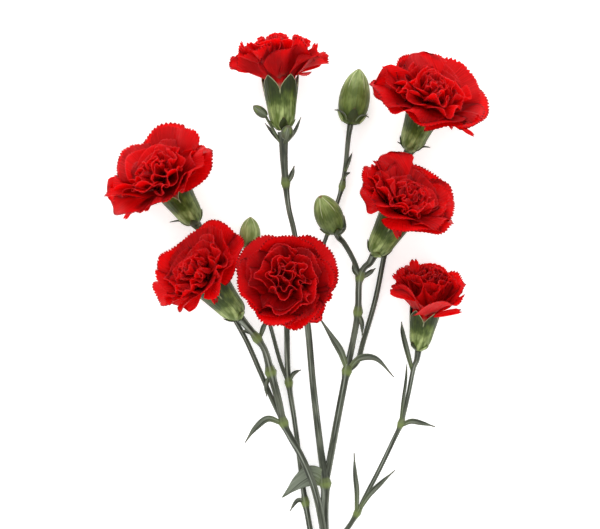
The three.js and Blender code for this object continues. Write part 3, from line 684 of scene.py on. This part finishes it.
def petal_surface(shape, rows, columns):
    """One petal as a grid over u, from -1 to 1 across its fan, and v, from 0 at the claw to 1 at the
    margin. The reach of a point is v times the limb's length, less the rounded corners and, near the
    margin, the teeth. The fan's angle u times spread splits the reach into a way along the midrib and a
    way across. The midrib leaves the start at its first lean and bends to its last, as 1 - exp(-distance
    / bend), and its margin curls on by curl. The cross section is a meander: its slope is ruffle times v
    to the 1.3, times the sum of two cosines of u. Returns the points, v, and how deep each point lies in
    a gap between teeth."""
    u = np.linspace(-1, 1, columns + 1)
    v = 1 - (1 - np.linspace(0, 1, rows + 1)[:, None]) ** 1.4
    limb = shape["limb"]
    saw = np.abs((u * shape["teeth"] / 2 + 0.5) % 1 * 2 - 1)
    index = np.clip(((u + 1) * shape["teeth"] / 2 + 0.5).astype(int), 0, shape["teeth"])
    notch = shape["depths"][index] * saw**1.2 * (1 - u**8)
    outline = 1 - 0.06 * u**2 - 0.16 * u**6 + shape["lobe"] * np.cos(np.pi * 1.5 * u + shape["phase"])
    reach = v * limb * outline - notch * smooth((v - 0.9) / 0.1)
    along = reach * np.cos(u * shape["spread"])
    half = shape["claw"] + reach * np.sin(shape["spread"])

    distance = np.linspace(0, 1.15 * limb, 160)
    first, last = shape["lean"]
    lean = first + (last - first) * (1 - np.exp(-distance / shape["bend"]))
    lean = lean + shape["curl"] * np.clip((distance / limb - 0.4) / 0.6, 0, 1.3) ** 1.5
    step = distance[1]
    radii = shape["start"][0] + np.cumsum(np.sin(lean)) * step
    heights = shape["start"][1] + np.cumsum(np.cos(lean)) * step
    radius, height, slope = (np.interp(along, distance, table) for table in (radii, heights, lean))

    wave = np.cos(np.pi * shape["waves"] * u + shape["phase"] + shape["drift"] * v)
    wave = wave + 0.35 * np.cos(np.pi * 1.7 * shape["waves"] * u + 2.3 * shape["phase"])
    swing = shape["ruffle"] * v**1.3 * wave
    middle = columns // 2

    def run(slopes):
        total = np.cumsum((slopes[:, 1:] + slopes[:, :-1]) / columns, axis=1)
        total = np.concatenate([np.zeros((rows + 1, 1)), total], axis=1)
        return total - total[:, middle : middle + 1]

    across, lift = run(np.cos(swing)), run(np.sin(swing))
    off = half * (lift + shape["tilt"] * across + shape["cup"] * across**2)
    out = radius - off * np.cos(slope)
    side = half * across
    up = height + off * np.sin(slope)
    c, s = np.cos(shape["way"]), np.sin(shape["way"])
    surface = np.stack([out * c - side * s, out * s + side * c, up], -1)
    return surface, v * np.ones_like(u), notch * np.ones_like(v)


CORE_PROFILE = [
    (0.3, 14.3), (6.0, 14.3), (7.2, 19.5), (7.6, 24), (7.8, 28), (8.5, 31), (9.5, 34), (8, 38), (4, 41),
    (0.3, 42),
]


def add_core(tissue, bloom, deep):
    """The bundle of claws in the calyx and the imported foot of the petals: a smooth profile turned about
    the axis and pleated by two cosines of the angle, pale below. Its part above PETAL_START is as many
    times higher as the bloom is deep."""
    table = [(r, z + max(z - PETAL_START, 0) * (deep - 1), 0) for r, z in CORE_PROFILE]
    points = spline(table, np.linspace(0, 1, 40))
    angle = around(72)
    pleat = 1 + 0.03 * np.cos(18 * angle) + 0.02 * np.cos(31 * angle + 1)
    height = points[:, 1:2]
    rings = turned(points[:, :1] * pleat, angle, height) * bloom["scale"]
    pale = smooth((27 - height) / 6)
    uv = skin_uv(angle * BODY_RADIUS, height)
    # The core's top takes the same painted crevice light, through deep.
    add_rings(tissue, placed(bloom, rings), uv, claw=pale, reach=0.3, tone=0.3, deep=1 - pale)


def add_petal(tissue, bloom, shape, level, push, deep, rng):
    """Adds one petal of a whorl, counted from the outside: its surface, pushed about above the calyx,
    placed on the bloom and laid on the table where it meets it, with the values that colour it. Its
    painted crevice light, a brighter red standing for light passed between crowded petals, grows with how
    far it lies below a paraboloid over the bloom; its margin carries a painted highlight, and the bloom's
    depth a painted shade over all of it."""
    outer = level < 2
    columns = 4 * shape["teeth"]
    surface, reach, notch = petal_surface(shape, 17 if outer else 15, columns)
    free = smooth((surface[..., 2:] - PETAL_START) / 12)
    surface = surface + 1.8 * free * push(surface)
    leaning = smooth((surface[..., 2] - PETAL_START) / 18)
    surface[..., 1] -= bloom["nod"] * leaning * min(level, 3) / 3
    r = np.hypot(surface[..., 0], surface[..., 1])
    # Painted crevice light: the further a point lies below the dome, the brighter the red painted on it.
    dome = PETAL_START + bloom["lift"] + deep * (22 * bloom["crown"] - 14 * (r / (27 * deep)) ** 2)
    painted_crevice_light = smooth((dome - surface[..., 2] - 2) / 14) * (0.3, 0.5, 0.8, 1)[min(level, 3)]
    thin = PETAL_THICKNESS * (1 - 0.45 * smooth((reach - 0.7) / 0.3))
    side = np.linspace(-1, 1, columns + 1)
    uv = skin_uv(side * shape["spread"] * shape["limb"], reach * shape["limb"]) + rng.uniform(0, 1, 2)
    tip = smooth((reach - 0.93) / 0.05) * (1 - smooth(notch / 0.7)) * (1.0, 0.25, 0.1)[min(level, 2)]
    # A painted highlight along the margin, strongest on the inner petals.
    rim = smooth((reach - 0.95) / 0.05) * (0.1 if outer else 0.7)
    claw = 0.25 * smooth((0.3 - reach) / 0.3) * (level == 0)
    # shade carries the bloom's depth as painted shade over the whole petal.
    add_blade(
        tissue, laid(placed(bloom, surface * bloom["scale"])), thin, uv, reach=reach, tone=rng.uniform(0, 1),
        tip=tip, rim=rim, deep=painted_crevice_light, shade=bloom["depth"], claw=claw,
    )


def add_stray(tissue, width, points):
    """A single petal along its own line. Its half width grows to the end as a smoothstep, and its margin
    is notched by a squared cosine. A narrow one ends in two dark teeth, twists by 0.9 radians and folds
    along its middle. A broad one, over 8 mm, hardly twists, folds and waves a little, has fine teeth, and
    its margin is rounded by a third of its width times u squared."""
    broad = width > 8
    teeth, tooth_depth = (int(1.1 * width), 0.8) if broad else (1.5, 1.2)
    rows, columns = (17, 3 * teeth) if broad else (28, 12)
    twisting, folded, waved, rounded = (0.2, 0.15, 0.08, width / 3) if broad else (1, 0.5, 0, 0)
    v = np.linspace(0, 1, rows + 1)
    line = spline(points, v)
    along, across, up = frames_along(line)
    twist = ((0.9 * v - 0.3) * twisting)[:, None]
    level = across * np.cos(twist) + up * np.sin(twist)
    raised = up * np.cos(twist) - across * np.sin(twist)
    v = v[:, None]
    u = np.linspace(-1, 1, columns + 1)
    half = width / 2 * (0.3 + 0.7 * smooth(v / 0.7)) * (1 - 0.35 * smooth((v - 0.85) / 0.15))
    notch = tooth_depth * np.cos(np.pi * teeth / 2 * u) ** 2 * smooth((v - 0.8) / 0.2)
    back = notch + rounded * u**2 * smooth(v)
    fold = folded * half * u**2 + waved * half * np.sin(7 * u + 4 * v)
    surface = line[:, None] + level[:, None] * (u * half)[..., None] + raised[:, None] * fold[..., None]
    surface = surface - along[:, None] * back[..., None]
    tip = smooth((v - 0.9) / 0.08) * (1 - smooth(notch / 0.8))
    # rim paints a highlight that grows towards the petal's end.
    add_blade(tissue, laid(surface), 0.35, skin_uv(u * half, v * 20), reach=v, tone=0.6, tip=tip, rim=0.2 * v)


def turn_towards(bloom, margin, shape, usual):
    """Turns an outer petal so that its margin shows at a place over the table. Of all ways and leans two
    degrees apart it gets the pair whose tip the camera sees nearest to that place, with a slight pull to
    the usual lean. The midrib bends as it does in petal_surface."""
    ways = np.radians(np.arange(0, 360, 2))
    leans = np.radians(np.arange(14, 118, 2))[:, None]
    first, limb = shape["lean"][0], shape["limb"]
    path = first + (leans - first) * (1 - np.exp(-np.linspace(0, limb, 60) / shape["bend"]))
    radius = (shape["start"][0] + limb * np.sin(path).mean(1))[:, None]
    height = (shape["start"][1] + limb * np.cos(path).mean(1))[:, None]
    tips = placed(bloom, turned(radius, ways, height) * bloom["scale"]) - EYE
    seen = tips[..., :2] * EYE[2] / -tips[..., 2:] + EYE[:2]
    miss = ((seen - margin) ** 2).sum(-1) + (0.05 * np.degrees(leans - usual)) ** 2
    lean, way = np.unravel_index(miss.argmin(), miss.shape)
    shape.update(way=ways[way], lean=(first, leans[lean, 0]))


def make_petals(name, bloom):
    """A head of petals: whorl after whorl of ruffled fans over a small core, pushed about together by one
    smooth random field, then turned the way the bloom faces and laid on the table where they meet it."""
    rng = np.random.default_rng(bloom["seed"])
    draw = rng.uniform
    tissue = Tissue()
    length = bloom["limb"] / bloom["scale"]
    deep = length / 24
    flare = np.radians(bloom["flare"])
    push = waver(rng)
    add_core(tissue, bloom, deep)
    for level, row in enumerate(WHORLS):
        count, (radius, rise), (first, share), size, spread, *row = row
        ruffle, waves, curl, teeth, depth, bend, low = row
        turn = draw(0, 2 * np.pi)
        margins = MARGINS.get(name, []) if level == 0 else []
        count = len(margins) or count
        frill = bloom["frill"] if level < 2 else 1
        for k in range(count):
            way = turn + 2 * np.pi * (k + draw(-0.16, 0.16)) / count
            lean = share * flare * (1 - bloom["sag"] * np.sin(way)) * draw(0.9, 1.1)
            eased = 1 - 1.5 * abs(bloom["sag"]) * np.sin(way)
            shape = dict(
                start=(radius, PETAL_START + bloom["lift"] + rise * deep),
                lean=(first * draw(0.85, 1.1), lean),
                limb=length * size * (1 - low * (1 - bloom["crown"])) * draw(0.93, 1.05),
                spread=spread * draw(0.92, 1.08), claw=2.0, bend=bend,
                ruffle=ruffle * frill * eased * draw(0.75, 1.2), waves=waves * draw(0.8, 1.25),
                phase=draw(0, 2 * np.pi), drift=draw(-1.2, 1.2), tilt=draw(0.05, 0.3), cup=draw(-0.1, 0.2),
                curl=curl + draw(-0.3, 0.3), lobe=draw(0.01, 0.05), way=way,
                teeth=teeth, depths=depth * draw(0.5, 1.3, teeth + 1),
            )
            if margins:
                turn_towards(bloom, margins[k], shape, share * flare)
            add_petal(tissue, bloom, shape, level, push, deep, rng)
    for width, points in STRAYS.get(name, []):
        add_stray(tissue, width, points)
    tissue.make("petals_of_" + name, PETAL, "petals", "petals_" + name)


# ---- Calyx, buds ----

CALYX_PROFILE = [
    (2.4, 0.5), (3.4, 1.6), (4.9, 3), (6.2, 5.4), (7, 8.5), (7.8, 14), (8.8, 20.5), (9.6, 26), (9.9, 29.3),
]
SCALE_THICKNESS = 0.35


def add_scales(tissue, head, angles, foot, tops, outline):
    """Four pointed scales that hug a body of revolution, at angles in degrees: in turn a narrow dark one
    and a broad pale one. Over a share t of its length a scale's half width is width, in radians, times
    the sine of half a turn times t to the 0.6, and it stands off the body a little more towards its
    tip."""
    t = np.linspace(0, 1, 17)[:, None]
    u = np.linspace(-1, 1, 13)
    for k, at in enumerate(angles):
        width, dark = ((0.42, 1), (0.6, 0.1))[k % 2]
        height = foot + (tops[k % 2] - foot) * t + 0 * u
        angle = np.radians(at) + u * width * (0.04 + np.sin(np.pi * (0.06 + 0.94 * t) ** 0.6))
        r = outline(height) + 0.3 * (0.4 + 0.6 * t) * (1 - 0.35 * u**2) + 0.15
        surface = turned(r, angle, height) * head.get("scale", 1)
        edge = smooth((np.abs(u) - 0.75) / 0.25) * (0.5 - 0.4 * dark)
        add_blade(
            tissue, laid(placed(head, surface)), SCALE_THICKNESS, skin_uv(angle * BODY_RADIUS, height),
            height=0.4 * t, edge=edge, dark=dark, tip=0.6 * smooth((t - 0.85) / 0.15),
        )


def calyx_radius(height):
    """The calyx's outer radius at a height: a smooth curve through its measured profile."""
    points = spline([(r, z, 0) for r, z in CALYX_PROFILE], np.linspace(0, 1, 120))
    return np.interp(height, points[:, 1], points[:, 0])


def make_calyx(name, bloom):
    """The calyx: a ribbed tube whose rim rises and falls in five pointed arches. Over a share f of the
    way from the middle of a tooth to a notch, the rim's height is the notch's plus (1 - f) to the power 1
    / 1.8 of the tooth's. The wall runs up the outside to the rim, down the inside to the floor, and
    across it."""
    tissue = Tissue()
    angle = around(160)
    f = np.abs((angle + TOOTH_TURN) * 5 / (2 * np.pi) % 1 * 2 - 1)
    rim = CALYX_MOUTH + (CALYX_TIP - CALYX_MOUTH) * (1 - f) ** (1 / 1.8)
    up = np.linspace(0, 1, 34)[:, None]
    down = np.linspace(0, 1, 8)[:, None]
    ribs = 0.07 * np.cos(30 * angle) * smooth(up / 0.2)
    wall = 0.25 + 0.6 * smooth(down / 0.6)
    height = np.concatenate([CALYX_FOOT + (rim - CALYX_FOOT) * up**0.9, rim + (CALYX_FLOOR - rim) * down])
    arch = 0.3 * (1 - f) * smooth((height - 12) / 10)
    r = calyx_radius(height) + arch + np.concatenate([ribs, -wall * np.ones_like(angle)])
    long = 1 + 0.5 * bloom["lift"] / CALYX_TIP
    rings = turned(r, angle, height * long) * bloom["scale"]
    edge = np.exp(-np.maximum(rim - height, 0) / 0.5) * (height > 16)
    web = smooth((height - CALYX_MOUTH + 3) / 3) * smooth((f - 0.86) / 0.14)
    # Painted shade: the calyx darkens towards its top, under the petals, by its height and by dim.
    add_rings(
        tissue, placed(bloom, rings), skin_uv(angle * CALYX_RADIUS, height), height=height / CALYX_TIP,
        edge=np.maximum(edge, 0.8 * web), dark=bloom["dim"] * smooth((height - 14) / 10),
        tip=0.5 * smooth(height - CALYX_TIP + 1),
    )
    angles = [bloom["scales"] + turn for turn in (0, 90, 180, 270)]
    add_scales(tissue, bloom, angles, 0.9, (7.6, 6.2), calyx_radius)
    tissue.make("calyx_of_" + name, CALYX, "calyx", "calyx_" + name)


BUD_PROFILE = [
    (0.3, 0), (0.52, 0.03), (0.78, 0.13), (0.95, 0.27), (1, 0.43), (0.96, 0.57), (0.82, 0.72), (0.58, 0.86),
    (0.3, 0.95), (0.1, 1),
]
GROOVE_DEPTH = 0.28
GROOVE_WIDTH = 0.35


def bud_rings(head, sides, rows):
    """An egg drawn out to a tip: a smooth profile turned about the axis, its five lobes parted from half
    its length on by shallow grooves, which fall off as exp(-distance / GROOVE_WIDTH). Returns the rings,
    the share of the length, and how near each point is to a groove."""
    points = spline([(r, z, 0) for r, z in BUD_PROFILE], np.linspace(0, 1, rows))
    angle = around(sides)
    f = np.abs(((angle + np.radians(18)) * 5 / (2 * np.pi) + 0.5) % 1 * 2 - 1)
    r, z = points[:, :1] * head["radius"], points[:, 1:2]
    groove = smooth((z - 0.5) / 0.12) * np.exp(-(1 - f) * r * 0.63 / GROOVE_WIDTH)
    r = r * (1 + 0.012 * np.cos(30 * angle)) - GROOVE_DEPTH * groove
    return turned(r, angle, z * head["length"]), z, groove


def make_bud(name, head):
    """A closed bud: the egg of five lobes, with two pairs of scales at its foot."""
    tissue = Tissue()
    rings, share, groove = bud_rings(head, 120, 48)
    uv = skin_uv(around(120) * BODY_RADIUS, share * head["length"])
    # Painted shade and light: a bud is darkest at its foot and lighter towards its tip, as far as its last
    # value says.
    add_rings(
        tissue, laid(placed(head, rings), SKIN_GAP), uv, height=head["foot_shade"] - 0.7 * share,
        edge=groove * smooth((share - 0.5) / 0.25), tip=smooth((share - 0.975) / 0.02),
    )
    table = bud_rings(head, 5, 60)[0][:, 0]

    def outline(height):
        return np.interp(height, table[:, 2], np.hypot(table[:, 0], table[:, 1])) + 0.1

    tops = (0.28 * head["length"], 0.24 * head["length"])
    add_scales(tissue, head, (275, 5, 95, 185), 0.03 * head["length"], tops, outline)
    tissue.make("bud_of_" + name, BUD, "calyx", "bud_" + name)


# ---- Stems and leaves ----

STEM_SIDES = 18
STEM_STEP = 0.8  # about how far apart its rings are
APPROACH = 6.0  # how far before a head's foot its stem is in line with it
STOUT = 1.1  # the living stem with its wax and sheaths, against the solid's radius
SHEATH = 5.0  # length of the sheath that a pair of leaves wraps round the stem above its node
KNOT = 2.2  # how far a node's swelling reaches to either side


def add_stem(tissue, stem):
    """A round stem along its curve. Its radius runs in straight lines between the typed ones and is a
    tenth stouter. A node adds a swelling of 40 % that falls off as a bell curve, and above it the pale
    sheath of its leaves, which widens to a soft lip."""
    foot, axis = np.array(stem["to"]["foot"], float), axis_of(stem["to"])
    typed = np.array(stem["points"], float)
    last = typed[-1, 3] * 1.15
    ends = np.array([[*(foot - APPROACH * axis), last], [*(foot - 0.1 * axis), last * 1.2]])
    full = np.concatenate([typed, ends])
    spans = len(full) - 1
    far = distances(full[:, :3])
    rows = int(far[-1] / STEM_STEP)
    place = np.interp(np.linspace(0, far[-1], rows), far, np.arange(spans + 1))
    line = spline(full[:, :3], place / spans)
    at = distances(line)
    radius = STOUT * np.interp(place, np.arange(spans + 1), full[:, 3])
    knot, pale = np.zeros(rows), np.zeros(rows)
    for node in stem["nodes"]:
        here = np.interp(node, place, at)
        knot = np.maximum(knot, np.exp(-(((at - here) / KNOT) ** 2)))
        sheath = smooth((at - here + 0.8) / 1.6) * smooth((here + SHEATH - at) / 2.2)
        radius = radius + 0.35 * sheath * (0.6 + 0.4 * (at - here) / SHEATH)
        pale = np.maximum(pale, sheath)
    radius = radius * (1 + 0.4 * knot)
    knot = np.maximum(knot, 0.6 * pale)
    rings = laid(rings_about(line, STEM_SIDES, radius[:, None, None]), SKIN_GAP)
    cut = np.zeros((rows, 1))
    cut[0] = stem is STEMS["stem_top"]
    at = at[:, None]
    add_rings(tissue, rings, skin_uv(around(STEM_SIDES) * 1.5, at), knot=knot[:, None], cut=cut)


def add_leaf(tissue, width, points, fold=0.5):
    """A narrow leaf along its midrib. Its half width follows the sine of its length, drawn to a point by
    1 less v to the 4. Both halves are raised by fold times their width, with a slight sine wave along the
    margin."""
    v = np.linspace(0, 1, 45)
    line = spline(points, v)
    _, across, up = frames_along(line)
    v = v[:, None]
    u = np.linspace(-1, 1, 11)
    half = width / 2 * (0.25 + 0.75 * np.sin(np.pi * (0.12 + 0.8 * v))) * (1 - v**4) + 0.12
    lift = half * fold * (np.abs(u) ** 1.4 - 0.3) + 0.08 * width * np.sin(9 * v + width) * u**2
    surface = line[:, None] + across[:, None] * (u * half)[..., None] + up[:, None] * lift[..., None]
    dry = smooth((v - 0.72) / 0.28) * (0.8 if width < 4 else 0.2)
    add_blade(
        tissue, laid(surface), 0.4, skin_uv(u * half, v * 30), knot=0.7 * (1 - v) ** 2, dry=dry,
        blade=smooth(width / 8),
    )


def add_side_bud(tissue, small):
    """A small closed bud, the egg of five lobes, on a thin straight stalk."""
    foot, start = np.array(small["foot"], float), np.array(small["start"], float)
    line = start + (foot + axis_of(small) - start) * np.linspace(0, 1, 14)[:, None]
    add_rings(tissue, rings_about(line, 10, 0.7), skin_uv(around(10), np.arange(14)[:, None]), knot=0.4)
    rings, share, groove = bud_rings(small, 40, 24)
    uv = skin_uv(around(40) * 3, share * small["length"])
    dry = smooth((share - 0.8) / 0.15)
    add_rings(tissue, placed(small, rings), uv, knot=0.35 + 0.65 * groove, dry=dry)


# ---- Making the pieces ----

for name, bloom in BLOOMS.items():
    make_petals(name, bloom)
    make_calyx(name, bloom)

for name, head in BUDS.items():
    make_bud(name, head)

for name, stem in STEMS.items():
    tissue = Tissue()
    add_stem(tissue, stem)
    for leaf in LEAVES.get(name, []):
        add_leaf(tissue, *leaf)
    if name == "stem_top":
        for small in SIDE_BUDS:
            add_side_bud(tissue, small)
    tissue.make("green_" + name, STEM, "stem", name)

# ---- The table and the light, in metres ----

board = bpy.data.meshes.new("table")
board.from_pydata([(-3, -3, 0), (3, -3, 0), (3, 3, 0), (-3, 3, 0)], [], [(0, 1, 2, 3)])
board.materials.append(table_board())
table = put("table", board)

# One large softbox beyond the blooms, turned to face the middle of the spray.
light = bpy.data.lights.new("key", "AREA")
light.size = 1.3
light.energy = 15
place = np.array([-0.45, 1.7, 0.9])
lamp = put("key", light)
lamp.location = place
aim = np.array([0.0, 0.05, 0.02]) - place
tilt = np.arctan2(np.hypot(aim[0], aim[1]), -aim[2])
lamp.rotation_euler = (tilt, 0, np.arctan2(aim[1], aim[0]) - np.pi / 2)

world = bpy.data.worlds.new("studio")
world.use_nodes = True
fill(world.node_tree, world.node_tree.nodes["Background"], {"Color": linear(0xFFFFFF), "Strength": 1.2})
scene.world = world
